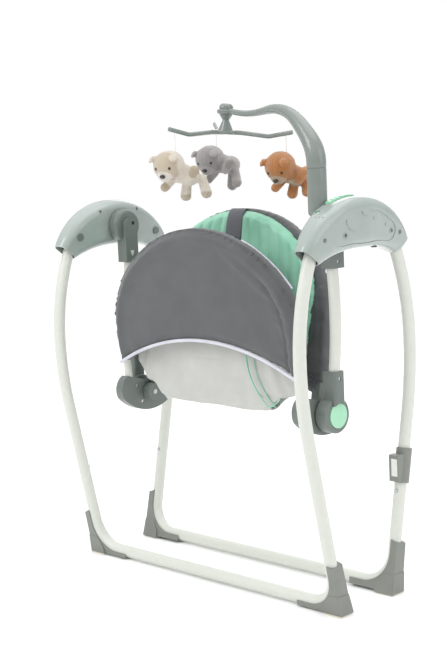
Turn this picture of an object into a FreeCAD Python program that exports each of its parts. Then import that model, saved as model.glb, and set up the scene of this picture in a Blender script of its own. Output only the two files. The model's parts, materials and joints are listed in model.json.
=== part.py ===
import FreeCAD, Part
import math
import os

V = FreeCAD.Vector

# Baby swing, folded and standing. Millimetres, +X to the right hand drive housing,
# -Y to the front (leg rest side), +Z up, origin on the floor under the middle.

# ---- frame -----------------------------------------------------------------
leg_plane_x = 340.0        # centre plane of the leg tubes, each side of the middle
leg_tube_d = 24.0
tube_wall = 1.6
bulge_y = 160.0            # widest point of the leg, from the middle
bulge_z = 482.0
leg_upper_r = 470.0        # bend of the leg above the bulge
leg_lower_r = 700.0        # bend of the leg below the bulge
leg_lean = 11.6            # lean of the straight lower leg, degrees
leg_pivot_z = 697.0
leg_top_z = 710.0
leg_seam_z = 170.0         # where the lower tube plugs into the leg
spigot_length = 52.0
base_bar_z = 15.0
base_bend_r = 62.0
snap_pin_z = 197.0
snap_pin_d = 7.0
snap_pin_proud = 2.6
pivot_pin_d = 8.0
pivot_head_d = 16.0
pivot_head_t = 3.0
boot_tongue_z = 104.0
boot_toe_length = 92.0
boot_thickness = 29.0
sole_pad_t = 2.5
clip_z = 244.0
clip_height = 66.0
clip_wall = 4.0

# ---- housings --------------------------------------------------------------
housing_crown_z = 770.0
housing_outer_r = 173.0    # radius of the arched top
housing_end_angle = 60.8   # where the arch ends, degrees from the crown
housing_end_tilt = 53.0    # tilt of the end face
housing_rear_share = 0.96  # the rear end stops short of the front one
panel_depth = 1.2          # recess of the outer side panel
housing_depth = 94.0       # height of the section at the crown
housing_end_depth = 49.0
housing_width = 64.0
housing_end_width = 38.0
housing_corner_r = 20.0
housing_end_corner_r = 16.0
housing_wall = 2.5
boss_d = 10.0
screw_d = 4.0
screw_head_d = 7.0
screw_head_t = 3.0

# ---- swing axis, drive and controls -----------------------------------------
swing_z = 715.0
swing_shaft_d = 12.0
bush_d = 20.0
arm_disc_d = 70.0
arm_disc_face_x = 282.0
arm_plate_x = 274.0
arm_plate_t = 28.0
arm_width = 34.0
socket_bottom_z = 637.0
socket_height = 30.0
lever_length = 34.0
lever_t = 6.0
coil_d = 26.0
coil_t = 8.0
strip_x = 332.0
strip_width = 13.0
strip_start = -20.0        # degrees from the crown
strip_end = 3.0
strip_ribs = 6
button_travel = 1.5
power_button_d = 10.0
power_button_angle = -30.5
power_button_x = 332.0
sound_hole_d = 2.4
sound_hole_angle = -35.5
sensor_angle = -21.5
sensor_d = 5.0

# ---- mobile ----------------------------------------------------------------
post_x = 303.0
post_y = -53.0
post_d = 36.0
post_bottom_z = 736.0
post_seam_z = 824.0
# Mobile arm from the seam to the knob, as (distance from the post, height, diameter).
arm_profile = [(0, 824, 36.0), (0, 840, 36.0), (5, 858, 35.5), (19, 878, 33.0), (40, 899, 29.5),
               (64, 918, 25.5), (93, 931, 22.0), (125, 936.5, 19.0), (172, 934, 14.5),
               (225, 933, 12.5), (268, 938, 12.0), (288, 941, 11.0)]
mobile_tilt = 6.5          # the arm's end points up a little, so the spinner's axis leans
mobile_x = 11.0
mobile_y = 17.0
knob_d = 36.0
knob_height = 21.0
knob_lip = 9.0
knob_dome_d = 28.0
knob_top_z = 957.0
spinner_plate_r = 23.0
spinner_plate_z = 897.0
spinner_plate_t = 7.0
spinner_cup_r = 14.0
spinner_arm_d = 9.0
spinner_angle = 23.8
string_radius = 127.0
string_top_z = 904.4       # centre line of the spinner's arms at the strings
string_d = 1.2
string_lengths = {"toy_cream": 36.0, "toy_grey": 38.0, "toy_brown": 33.0}   # arm to toy
toy_head_r = 31.0

# ---- seat ------------------------------------------------------------------
hanger_x_top = 284.0
hanger_x_bottom = 281.0
hanger_bow = 9.0
hanger_d = 22.0
hub_y = -4.0
hub_z = 358.0
hub_d = 69.0
hub_inner_x = 263.0
hub_outer_x = 292.0
hub_neck_top_z = 443.0
hub_neck_width = 29.0
hub_neck_proud = 7.5
hub_button_d = 48.0
hub_button_t = 6.0
hub_button_proud = 2.0
hub_button_travel = 3.0
hub_axle_d = 10.0
bracket_t = 20.0
loop_tube_d = 16.0
loop_tube_wall = 1.2
front_loop_half = 250.0
front_loop_lean = 4.0
front_loop_y = -50.0
front_loop_foot_z = 385.0
front_loop_spring_z = 500.0
front_loop_top_z = 703.0
front_crown_r = 290.0
back_loop_half = 230.0
back_loop_lean = 9.0
back_loop_offset = 14.0
back_spring_h = 165.0      # heights along the leaning backrest, from the hub axis
back_top_h = 383.0
back_crown_r = 280.0
back_foot_h = 30.0
back_disc_d = 36.0
fabric_edge = 10.0         # fabric beyond the centre of the loop tube
cover_front = 16.0         # front cover before and behind the loop plane
cover_behind = 10.0
cover_arch_side_z = 431.0
cover_arch_top_z = 494.0
back_cover_t = 36.0
back_pad_t = 19.0
back_pad_inset = 16.0
back_foot_gap_h = 46.0
sling_wall = 6.0
sling_front_y = -42.8
sling_rear_y = -8.0
sling_bottom_z = 350.0
sling_front_top_z = 497.0
sling_rear_top_z = 392.0
sling_bottom_half = 155.0
sling_side_half = 236.0
sling_side_z = 402.0
strap_width = 44.0
strap_t = 3.0
strap_length = 150.0

# ---- clearances ------------------------------------------------------------
running = 0.08             # radial, shaft in bore
fit_gap = 0.1              # radial, tube in tube
soft_gap = 0.3             # fabric to its neighbours
channel_gap = 0.9          # radial, fabric tunnel round a loop tube
socket_gap = 0.5           # radial, bent tube in a moulded socket
slot_gap = 0.5             # keys in their openings

sides = {"left": -1, "right": 1}
ends = {"front": -1, "rear": 1}
nodes = {}


def box(x0, x1, y0, y1, z0, z1):
    """A block between two corners, given in any order."""
    x0, x1 = sorted((x0, x1))
    y0, y1 = sorted((y0, y1))
    z0, z1 = sorted((z0, z1))
    return Part.makeBox(x1 - x0, y1 - y0, z1 - z0, V(x0, y0, z0))


def rod(a, b, d):
    """A cylinder from point a to point b."""
    return Part.makeCylinder(d / 2, (b - a).Length, a, b - a)


def x_rod(x0, x1, y, z, d):
    """A cylinder along X."""
    return rod(V(x0, y, z), V(x1, y, z), d)


def ball(p, r):
    return Part.makeSphere(r, p)


def capsule(a, b, d):
    """A rod with round ends."""
    return rod(a, b, d).fuse([ball(a, d / 2), ball(b, d / 2)])


def arc(a, m, b):
    return Part.Arc(a, m, b).toShape()


def line(a, b):
    return Part.LineSegment(a, b).toShape()


def sweep(edges, d):
    """A round bar of diameter d along a smooth path."""
    path = Part.Wire(edges)
    start = path.OrderedEdges[0]
    first = start.FirstParameter
    tangent = start.tangentAt(first)
    profile = Part.Wire([Part.makeCircle(d / 2, start.valueAt(first), tangent)])
    return path.makePipeShell([profile], True, False)


def rounded_path(points, radius):
    """Straight runs through the points, joined by tangent arcs."""
    edges = []
    last = points[0]
    for a, b, c in zip(points, points[1:], points[2:]):
        before = (a - b).normalize()
        after = (c - b).normalize()
        half_turn = (math.pi - before.getAngle(after)) / 2
        reach = radius * math.tan(half_turn)
        inward = (before + after).normalize()
        middle = b + inward * (radius / math.cos(half_turn) - radius)
        edges.append(line(last, b + before * reach))
        edges.append(arc(b + before * reach, middle, b + after * reach))
        last = b + after * reach
    edges.append(line(last, points[-1]))
    return edges


def hollow(edges, d, wall):
    return sweep(edges, d).cut(sweep(edges, d - 2 * wall))


def plate(edges, thickness, direction):
    """A flat outline given thickness along a direction."""
    face = Part.Face(Part.Wire(edges))
    return face.extrude(direction * thickness)


# ---- leg curve ---------------------------------------------------------------
lean = math.radians(leg_lean)
straight_top_z = bulge_z - leg_lower_r * math.sin(lean)
straight_top_y = bulge_y - leg_lower_r * (1 - math.cos(lean))


def leg_y(z):
    """Distance of the leg's centre line from the middle at height z."""
    if z >= bulge_z:
        return bulge_y - leg_upper_r + math.sqrt(leg_upper_r ** 2 - (z - bulge_z) ** 2)
    if z >= straight_top_z:
        return bulge_y - leg_lower_r + math.sqrt(leg_lower_r ** 2 - (bulge_z - z) ** 2)
    return straight_top_y - (straight_top_z - z) * math.tan(lean)


def leg_point(side, end, z):
    return V(side * leg_plane_x, end * leg_y(z), z)


def leg_down(end):
    """Direction down the straight lower leg."""
    return V(0, -end * math.sin(lean), -math.cos(lean))


def upper_leg_path(side, end):
    marks = [leg_top_z, (leg_top_z + bulge_z) / 2, bulge_z,
             (bulge_z + straight_top_z) / 2, straight_top_z, leg_seam_z]
    p = [leg_point(side, end, z) for z in marks]
    return [arc(p[0], p[1], p[2]), arc(p[2], p[3], p[4]), line(p[4], p[5])]


def base_path(end, top_z):
    """The lower U: down one leg, round the bend, along the bar and up the other leg."""
    corners = [leg_point(s, end, base_bar_z) for s in (-1, 1)]
    up = leg_down(end) * -1
    mid_turn = base_bend_r * (1 - math.sqrt(0.5))
    edges = []
    bends = []
    for s, corner in zip((-1, 1), corners):
        on_leg = corner + up * base_bend_r
        on_bar = corner + V(-s * base_bend_r, 0, 0)
        middle = corner + up * mid_turn + V(-s * mid_turn, 0, 0)
        bends.append((on_leg, middle, on_bar))
    left, right = bends
    edges.append(line(leg_point(-1, end, top_z), left[0]))
    edges.append(arc(*left))
    edges.append(line(left[2], right[2]))
    edges.append(arc(right[2], right[1], right[0]))
    edges.append(line(right[0], leg_point(1, end, top_z)))
    return edges


spigot_d = leg_tube_d - 2 * tube_wall - 2 * fit_gap
spigot_top_z = leg_seam_z + spigot_length * math.cos(lean)


def snap_hole(side, end):
    """The hole that the snap pin comes through, on the inner side of the leg."""
    p = leg_point(side, end, snap_pin_z)
    return rod(p, p + V(0, -end * leg_tube_d, 0), snap_pin_d + 2 * fit_gap)


def make_legs():
    for side_name, side in sides.items():
        for end_name, end in ends.items():
            leg = hollow(upper_leg_path(side, end), leg_tube_d, tube_wall)
            pivot = leg_point(side, end, leg_pivot_z)
            x0 = side * (leg_plane_x - leg_tube_d)
            x1 = side * (leg_plane_x + leg_tube_d)
            leg = leg.cut(x_rod(x0, x1, pivot.y, pivot.z, pivot_pin_d + 2 * running))
            nodes[f"{end_name}_leg_{side_name}"] = leg.cut(snap_hole(side, end))


def make_base_tubes():
    for end_name, end in ends.items():
        tube = sweep(base_path(end, leg_seam_z), leg_tube_d)
        for side in sides.values():
            overlap = leg_point(side, end, leg_seam_z - 5)
            tube = tube.fuse(rod(overlap, leg_point(side, end, spigot_top_z), spigot_d))
        tube = tube.cut(sweep(base_path(end, spigot_top_z), spigot_d - 2 * tube_wall))
        for side in sides.values():
            tube = tube.cut(snap_hole(side, end))
        nodes[f"{end_name}_base_tube"] = tube


def make_snap_pins():
    """Sprung pins inside the spigots, with a shoulder that stops them in the hole."""
    bore_r = spigot_d / 2 - tube_wall
    for side_name, side in sides.items():
        for end_name, end in ends.items():
            p = leg_point(side, end, snap_pin_z)
            inward = V(0, -end, 0)
            reach = leg_tube_d / 2 / math.cos(lean) + snap_pin_proud
            pin = rod(p + inward * 2, p + inward * (reach - snap_pin_d / 4), snap_pin_d)
            tip = p + inward * (reach - snap_pin_d / 4)
            dome = ball(tip, snap_pin_d / 2).common(rod(tip, p + inward * reach, snap_pin_d))
            shoulder = rod(p, p + inward * (bore_r * 0.6), snap_pin_d + 2)
            nodes[f"snap_pin_{end_name}_{side_name}"] = pin.fuse([dome, shoulder])


def boot(side, end):
    """A moulded boot on the outside of a corner: tongue, toe and flared heel block."""
    corner = leg_point(side, end, base_bar_z)
    up = leg_down(end) * -1
    out = V(side, 0, 0)
    half = leg_tube_d / 2
    middle = base_bend_r * (1 - math.sqrt(0.5))
    tongue = corner + up * (boot_tongue_z - base_bar_z)
    tip_out = tongue + out * (half + 2.5) - up * 5
    heel = corner + out * (half + 5) + up * 12
    heel_low = corner + out * (half + 5) - up * (base_bar_z + 6)
    toe = corner - out * boot_toe_length
    toe_low = toe - up * (half + 0.5)
    sole_in = corner - out * 30 - up * (base_bar_z + 6)
    step_in = corner - out * 30 - up * (half + 0.5)
    bend_up = corner + up * base_bend_r
    bend_in = corner - out * base_bend_r
    bend = corner + up * middle - out * middle
    edges = [line(tongue, tip_out), line(tip_out, heel), line(heel, heel_low),
             line(heel_low, sole_in), line(sole_in, step_in), line(step_in, toe_low),
             line(toe_low, toe), line(toe, bend_in), arc(bend_in, bend, bend_up),
             line(bend_up, tongue)]
    normal = up.cross(out).normalize()
    web = plate(edges, boot_thickness, normal)
    web.translate(normal * (-boot_thickness / 2))
    levels = [(0, -26, 19, 18.0), (18, -23, 18.5, 17.0), (40, -9, 17.5, 15.5)]
    wires = []
    for z, x_in, x_out, half_y in levels:
        y = end * leg_y(z)
        p = [V(corner.x + side * x_in, y - half_y, z), V(corner.x + side * x_out, y - half_y, z),
             V(corner.x + side * x_out, y + half_y, z), V(corner.x + side * x_in, y + half_y, z)]
        wires.append(Part.Wire([line(p[i], p[(i + 1) % 4]) for i in range(4)]))
    block = Part.makeLoft(wires, True, True)
    body = web.fuse(block)
    floor = box(corner.x - 150, corner.x + 150, corner.y - 90, corner.y + 90, -60, sole_pad_t)
    return body.cut(floor)


def make_feet():
    for end_name, end in ends.items():
        tube = sweep(base_path(end, leg_seam_z), leg_tube_d + 2 * socket_gap)
        boots = []
        pads = []
        for side in sides.values():
            boots.append(boot(side, end).cut(tube))
            corner = leg_point(side, end, base_bar_z)
            pad = box(corner.x - side * 24, corner.x + side * 18,
                      corner.y - 17, corner.y + 17, 0, sole_pad_t)
            pads.append(pad)
        nodes[f"{end_name}_feet"] = Part.makeCompound(boots)
        nodes[f"{end_name}_foot_pads"] = Part.makeCompound(pads)


def make_clip():
    """Clip-on holder on the rear right leg, with a lip towards the middle."""
    low = leg_point(1, 1, clip_z - clip_height / 2)
    high = leg_point(1, 1, clip_z + clip_height / 2)
    outer_d = leg_tube_d + 2 * clip_wall
    sleeve = rod(low, high, outer_d)
    hook_low = low + V(0, -outer_d / 2 - 3, 0)
    hook = box(low.x - 11, low.x + 11, hook_low.y - 2, low.y, low.z + 5, high.z - 9)
    body = sleeve.fuse(hook)
    reach = (high - low).normalize() * 20
    body = body.cut(rod(low - reach, high + reach, leg_tube_d + 2 * fit_gap))
    mouth = box(low.x - 60, low.x - leg_tube_d / 2 + 4, low.y - 7, high.y + 7,
                low.z - 5, high.z + 5)
    nodes["storage_clip"] = body.cut(mouth)


# ---- housings --------------------------------------------------------------
arch_centre_z = housing_crown_z - housing_outer_r


def section(side, u, inset):
    """Rounded cross-section of the housing at u, from -1 (front end) to 1 (rear end)."""
    share = housing_rear_share if u > 0 else 1.0
    angle = math.radians(u * housing_end_angle * share)
    tilt = math.radians(u * housing_end_tilt)
    depth = housing_depth - (housing_depth - housing_end_depth) * u * u
    width = housing_width - (housing_width - housing_end_width) * u * u
    corner = housing_corner_r - (housing_corner_r - housing_end_corner_r) * u * u
    up = V(0, math.sin(tilt), math.cos(tilt))
    across = V(1, 0, 0)
    top = V(side * leg_plane_x, housing_outer_r * math.sin(angle),
            arch_centre_z + housing_outer_r * math.cos(angle))
    centre = top - up * (depth / 2)
    h = depth / 2 - inset
    w = width / 2 - inset
    r = corner - inset
    k = r * (1 - math.sqrt(0.5))

    def at(a, b):
        return centre + across * a + up * b

    edges = []
    for sa, sb in ((1, 1), (-1, 1), (-1, -1), (1, -1)):
        side_point = at(sa * w, sb * (h - r))
        end_point = at(sa * (w - r), sb * h)
        middle = at(sa * (w - k), sb * (h - k))
        if sa * sb > 0:
            edges.append(arc(side_point, middle, end_point))
            edges.append(line(end_point, at(-sa * (w - r), sb * h)))
        else:
            edges.append(arc(end_point, middle, side_point))
            edges.append(line(side_point, at(sa * w, -sb * (h - r))))
    return Part.Wire(edges)


def housing_solid(side, inset, reach):
    stations = [reach * i / 4 for i in range(-4, 5)]
    return Part.makeLoft([section(side, u, inset) for u in stations], True, False)


def side_panel(side):
    """Smooth closed outline on the outer face, as a thick plate that reaches through it."""
    outline = [(-88, 702), (-64, 725), (-30, 739), (2, 744), (40, 740), (72, 725), (93, 703),
               (84, 687), (50, 685), (0, 684), (-50, 684), (-82, 687)]
    curve = Part.BSplineCurve()
    curve.interpolate([V(0, y, z) for y, z in outline], PeriodicFlag=True)
    face = Part.Face(Part.Wire([curve.toShape()]))
    face.translate(V(side * (leg_plane_x + 5), 0, 0))
    return face.extrude(V(side * 60, 0, 0))


def housing_half_width(y):
    """Half width of the housing at distance y from the crown."""
    u = math.degrees(math.asin(min(1, abs(y) / housing_outer_r))) / housing_end_angle
    return (housing_width - (housing_width - housing_end_width) * u * u) / 2


# Screws driven from the inner face, as (y, z); the right pair leaves room for the post.
inner_screws = {"left": [(-53.0, 748.0), (51.0, 748.0)],
                "right": [(-22.0, 750.0), (51.0, 748.0)]}
outer_screws = [(-56.0, 702.0), (80.0, 702.0)]     # driven from the outer face
coil_z = swing_z + lever_length
board_y = 44.0
board_z = 728.0
board_x = 350.0
speaker_y = -34.0
speaker_z = 728.0
speaker_d = 34.0
jack_y = 44.0
jack_x = 352.0
jack_d = 11.0
jack_bore_d = 5.7
jack_bore_depth = 10.0


def radial(angle_deg, r, x):
    """A point at radius r from the arch's centre, by angle from the crown."""
    a = math.radians(angle_deg)
    return V(x, r * math.sin(a), arch_centre_z + r * math.cos(a))


def ring_segment(x0, x1, r0, r1, start, end):
    """A piece of a ring about the arch's centre, between two angles from the crown."""
    middle = (start + end) / 2
    edges = [arc(radial(start, r1, x0), radial(middle, r1, x0), radial(end, r1, x0)),
             line(radial(end, r1, x0), radial(end, r0, x0)),
             arc(radial(end, r0, x0), radial(middle, r0, x0), radial(start, r0, x0)),
             line(radial(start, r0, x0), radial(start, r1, x0))]
    return plate(edges, x1 - x0, V(1, 0, 0))


def lower_wall_z(y):
    """Height of the arched underside of the housing at distance y, about the middle."""
    u = y / (housing_outer_r * math.sin(math.radians(housing_end_angle)))
    return housing_crown_z - housing_depth - 9.0 * u * u


def make_housings():
    screws = []
    pins = []
    for side_name, side in sides.items():
        outer = housing_solid(side, 0.0, 1.0)
        cavity = housing_solid(side, housing_wall, 1.04)
        mid = side * leg_plane_x
        inner_half = box(side * (leg_plane_x - 60), mid, -200, 200, 600, 800)
        outer_half = box(mid, side * (leg_plane_x + 60), -200, 200, 600, 800)
        shell = outer.cut(cavity)
        skin = outer.cut(housing_solid(side, panel_depth, 1.04))
        shell = shell.cut(skin.common(side_panel(side)))
        bosses = []
        cuts = []
        tube_r = leg_tube_d / 2
        for end in ends.values():
            p = leg_point(side, end, leg_pivot_z)
            half = housing_half_width(p.y)
            for s in (-1, 1):
                bosses.append(x_rod(mid + s * (tube_r + slot_gap), mid + s * (half + 8),
                                    p.y, p.z, pivot_pin_d + 2 * 5))
            cuts.append(x_rod(mid - side * (half + 8), mid + side * (half - 1),
                              p.y, p.z, pivot_pin_d + 2 * running))
            head_x = mid - side * half
            cuts.append(x_rod(head_x - side * 8, head_x + side * pivot_head_t, p.y, p.z,
                              pivot_head_d + 2 * running))
            head = x_rod(head_x, head_x + side * pivot_head_t, p.y, p.z, pivot_head_d)
            stem = x_rod(head_x, mid + side * (half - 2), p.y, p.z, pivot_pin_d)
            pins.append(head.fuse(stem))
        for face, places in ((-1, inner_screws[side_name]), (1, outer_screws)):
            for y, z in places:
                half = housing_half_width(y)
                head_x = mid + face * side * (half - 5)
                tip_x = mid - face * side * 14
                bosses.append(x_rod(mid - side * (half + 8), mid + side * (half + 8), y, z, boss_d))
                cuts.append(x_rod(head_x - face * side * screw_head_t, head_x + face * side * 16,
                                  y, z, screw_head_d + 2 * fit_gap))
                cuts.append(x_rod(head_x, tip_x, y, z, screw_d + 2 * running))
                head = x_rod(head_x, head_x - face * side * screw_head_t, y, z, screw_head_d)
                shank = x_rod(head_x, tip_x + face * side * 0.5, y, z, screw_d)
                screws.append(head.fuse(shank))
        bush_x0 = mid - side * (housing_width / 2 + 3)
        bush_x1 = mid - side * (housing_width / 2 - 12)
        bosses.append(x_rod(mid - side * housing_width / 2, bush_x1, 0, swing_z, bush_d + 8))
        cuts.append(x_rod(bush_x0 - side * 20, bush_x1 + side * 1, 0, swing_z,
                          bush_d + 2 * running))
        if side > 0:
            half = housing_width / 2
            bosses.append(x_rod(mid, mid + half + 6, 0, coil_z - 5, coil_d - 6))
            for y, z in ((board_y - 18, board_z), (board_y + 18, board_z - 14)):
                bosses.append(x_rod(board_x, mid + half + 6, y, z, 6))
            bosses.append(x_rod(mid + 16, mid + half + 6, speaker_y, speaker_z, speaker_d + 4))
            bosses.append(rod(V(post_x, post_y, post_bottom_z - 4), V(post_x, post_y, 780),
                              post_d + 6))
            cuts.append(rod(V(post_x, post_y, post_bottom_z - 0.5), V(post_x, post_y, 800),
                            post_d + 2 * fit_gap))
            cuts.append(x_rod(mid + 15, mid + 28, speaker_y, speaker_z, speaker_d + 2 * fit_gap))
            x0 = strip_x - strip_width / 2 - slot_gap
            x1 = strip_x + strip_width / 2 + slot_gap
            cuts.append(ring_segment(x0, x1, housing_outer_r - 12, housing_outer_r + 8,
                                     strip_start - 0.3, strip_end + 0.3))
            cuts.append(rod(radial(power_button_angle, housing_outer_r - 14, power_button_x),
                            radial(power_button_angle, housing_outer_r + 8, power_button_x),
                            power_button_d + 2 * slot_gap))
            cuts.append(rod(V(jack_x, jack_y, 650), V(jack_x, jack_y, 690), jack_d + 2 * fit_gap))
            for x in (338, 346, 354):
                cuts.append(rod(radial(sound_hole_angle, housing_outer_r - 9, x),
                                radial(sound_hole_angle, housing_outer_r + 8, x), sound_hole_d))
            for x in (324, 327, 330):
                cuts.append(rod(radial(sensor_angle, housing_outer_r - 9, x),
                                radial(sensor_angle, housing_outer_r + 8, x), sensor_d))
        blocks = bosses[0].multiFuse(bosses[1:]).common(outer)
        keep_clear = []
        for end in ends.values():
            p = leg_point(side, end, leg_pivot_z)
            keep_clear.append(x_rod(mid - tube_r - slot_gap, mid + tube_r + slot_gap,
                                    p.y, p.z, 40))
        blocks = blocks.cut(keep_clear)
        shell = shell.fuse(blocks).cut(cuts)
        nodes[f"{side_name}_housing_inner"] = shell.common(inner_half)
        nodes[f"{side_name}_housing_outer"] = shell.common(outer_half)
    nodes["housing_screws"] = Part.makeCompound(screws)
    nodes["leg_pivot_pins"] = Part.makeCompound(pins)


def make_swing_bearings():
    """Plain bushes in the housings, and the shafts of the seat that turn in them."""
    bushes = []
    shafts = []
    for side in sides.values():
        mid = side * leg_plane_x
        x0 = mid - side * (housing_width / 2 + 2)
        x1 = mid - side * (housing_width / 2 - 12)
        bush = x_rod(x0, x1, 0, swing_z, bush_d)
        bushes.append(bush.cut(x_rod(x0 - side, x1 + side, 0, swing_z,
                                     swing_shaft_d + 2 * running)))
        shafts.append(x_rod(side * (arm_disc_face_x + 8), mid - side * 8, 0, swing_z, swing_shaft_d))
        axle_x0 = side * (front_loop_half - 1.5 * bracket_t)
        shafts.append(x_rod(axle_x0, side * (hub_outer_x - 10), hub_y, hub_z, hub_axle_d))
    nodes["swing_bushes"] = Part.makeCompound(bushes)
    nodes["pivot_shafts"] = Part.makeCompound(shafts)


def make_drive():
    """Coil in the right housing, and the magnet lever on the seat's shaft beside it."""
    coil_x0 = leg_plane_x - coil_t - soft_gap
    coil = x_rod(coil_x0, coil_x0 + coil_t, 0, coil_z - 5, coil_d)
    nodes["drive_coil"] = coil.cut(x_rod(coil_x0 - 1, coil_x0 + coil_t - 2, 0, coil_z - 5, 8))
    lever_x = coil_x0 - 1 - lever_t
    hub = x_rod(lever_x, lever_x + lever_t, 0, swing_z, swing_shaft_d + 10)
    bar = box(lever_x, lever_x + lever_t, -5, 5, swing_z, coil_z - 5)
    magnet = x_rod(lever_x, lever_x + lever_t, 0, coil_z - 7, 16)
    lever = hub.fuse([bar, magnet])
    nodes["magnet_lever"] = lever.cut(x_rod(lever_x - 1, lever_x + lever_t + 1, 0, swing_z,
                                            swing_shaft_d))
    nodes["control_board"] = box(board_x - 1.6, board_x, board_y - 26, board_y + 24,
                                 board_z - 20, board_z + 8)
    speaker_x = leg_plane_x + 15
    nodes["speaker"] = x_rod(speaker_x - 6, speaker_x + 4, speaker_y, speaker_z, speaker_d)
    floor_z = lower_wall_z(jack_y)
    jack = rod(V(jack_x, jack_y, floor_z - 2), V(jack_x, jack_y, floor_z + 12), jack_d)
    nodes["dc_jack"] = jack.cut(rod(V(jack_x, jack_y, floor_z - 4),
                                    V(jack_x, jack_y, floor_z - 2 + jack_bore_depth), jack_bore_d))


def make_controls():
    """Ribbed key strip along the crown, and a round power button."""
    x0 = strip_x - strip_width / 2
    x1 = strip_x + strip_width / 2
    strip = ring_segment(x0, x1, housing_outer_r - 5, housing_outer_r + 0.8,
                         strip_start, strip_end)
    pitch = (strip_end - strip_start) / strip_ribs
    ribs = []
    for i in range(strip_ribs):
        start = strip_start + (i + 0.2) * pitch
        ribs.append(ring_segment(x0 + 1, x1 - 1, housing_outer_r, housing_outer_r + 2.6,
                                 start, start + 0.6 * pitch))
    nodes["control_strip"] = strip.fuse(ribs)
    low = radial(power_button_angle, housing_outer_r - 8, power_button_x)
    high = radial(power_button_angle, housing_outer_r - 2.5, power_button_x)
    nodes["power_button"] = rod(low, high, power_button_d)


# ---- mobile ----------------------------------------------------------------
def arm_stations():
    """Centre, direction and radius of the mobile arm from the seam to the knob."""
    start = V(post_x, post_y, 0)
    along = (V(mobile_x, mobile_y, 0) - start).normalize()
    points = [start + along * s + V(0, 0, z) for s, z, d in arm_profile]
    result = []
    for i, (s, z, d) in enumerate(arm_profile):
        before = points[max(i - 1, 0)]
        after = points[min(i + 1, len(points) - 1)]
        result.append((points[i], (after - before).normalize(), d / 2))
    return result


def leaning(shape):
    """From upright under the knob to the mobile's leaning axis."""
    shape.rotate(V(mobile_x, mobile_y, knob_top_z - knob_height), V(0, 1, 0), mobile_tilt)
    return shape


def string_place(i):
    a = math.radians(spinner_angle + 120 * i)
    return V(mobile_x + string_radius * math.cos(a), mobile_y + string_radius * math.sin(a), 0)


def make_mobile_arm():
    post = rod(V(post_x, post_y, post_bottom_z), V(post_x, post_y, post_seam_z), post_d)
    rim = [e for e in post.Edges if abs(e.BoundBox.ZMax - post_bottom_z) < 0.01]
    post = post.makeFillet(9, rim)
    seam = [e for e in post.Edges if abs(e.BoundBox.ZMin - post_seam_z) < 0.01]
    nodes["mobile_post"] = post.makeChamfer(0.9, seam)
    wires = [Part.Wire([Part.makeCircle(r, p, d)]) for p, d, r in arm_stations()]
    spine = Part.BSplineCurve()
    spine.interpolate([p for p, d, r in arm_stations()])
    arm = Part.Wire([spine.toShape()]).makePipeShell(wires, True, False)
    low = knob_top_z - knob_height
    centre = V(mobile_x, mobile_y, low)
    lip = Part.makeCylinder(knob_d / 2, knob_lip, centre)
    lip = lip.makeFillet(3, [e for e in lip.Edges if e.Closed])
    dome = Part.makeCylinder(knob_dome_d / 2, knob_height - 2, centre + V(0, 0, 2))
    crown = [e for e in dome.Edges if abs(e.BoundBox.ZMin - knob_top_z) < 0.01]
    dome = dome.makeFillet(9, crown)
    spindle = rod(V(mobile_x, mobile_y, spinner_plate_z + 4), centre + V(0, 0, 2), 6)
    for part in (lip, dome, spindle):
        arm = arm.fuse(leaning(part))
    nodes["mobile_arm"] = arm


def make_spinner():
    """Flared hub on the spindle with three drooping arms."""
    top = knob_top_z - knob_height - 0.5
    x = mobile_x
    y = mobile_y
    rim_z = spinner_plate_z + spinner_plate_t
    waist_r = 6.5
    waist_z = (rim_z + top) / 2 + 4
    foot = V(x, y, spinner_plate_z)
    hub = Part.makeCylinder(spinner_plate_r, spinner_plate_t, foot)
    hub = hub.makeFillet(2, [e for e in hub.Edges if e.Closed])
    flare = Part.makeCone(spinner_plate_r - 8, waist_r, waist_z - rim_z, V(x, y, rim_z))
    cup = Part.makeCone(waist_r, spinner_cup_r, top - waist_z, V(x, y, waist_z))
    hub = hub.fuse([flare, cup])
    arms = []
    for i in range(3):
        direction = string_place(i) - V(x, y, 0)
        unit = direction.normalize()
        dip = string_radius * 0.28
        places = [(6, rim_z - 4), (34, rim_z - 3.5), (string_radius - dip, string_top_z - 8),
                  (string_radius + 13, string_top_z + 8 * 13 / dip)]
        pts = [V(x, y, 0) + unit * s + V(0, 0, z) for s, z in places]
        arms.append(sweep(rounded_path(pts, 30), spinner_arm_d))
    spinner = hub
    for bar in arms:
        spinner = spinner.fuse(bar)
    bore = rod(V(x, y, spinner_plate_z + 3.5), V(x, y, top + 2), 6 + 2 * running)
    nodes["mobile_spinner"] = leaning(spinner.cut(bore))


# Where each toy looks: angle from +X, degrees, and how far its head is tipped down.
toy_poses = {"toy_cream": (-110.0, 2), "toy_grey": (-128.0, 1), "toy_brown": (-112.0, 0)}


def toy(knot, heading):
    """Stuffed bear lying on its front, hung by the back of its neck."""
    a = math.radians(heading)
    ahead = V(math.cos(a), math.sin(a), 0)
    across = V(-math.sin(a), math.cos(a), 0)
    up = V(0, 0, 1)

    def at(f, s, u):
        return knot + ahead * f + across * s + up * u

    head = at(15, 0, -toy_head_r + 5)
    parts = [ball(at(36, 0, -toy_head_r - 6), 13)]
    for s in (-1, 1):
        parts.append(ball(at(10, s * 25, -10), 9))
        parts.append(capsule(at(-18, s * 20, -50), at(0, s * 30, -76), 18))
        parts.append(capsule(at(-52, s * 16, -62), at(-53, s * 20, -84), 21))
    parts.append(capsule(at(-14, 0, -44), at(-48, 0, -54), 46))
    return ball(head, toy_head_r).multiFuse(parts)


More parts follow.
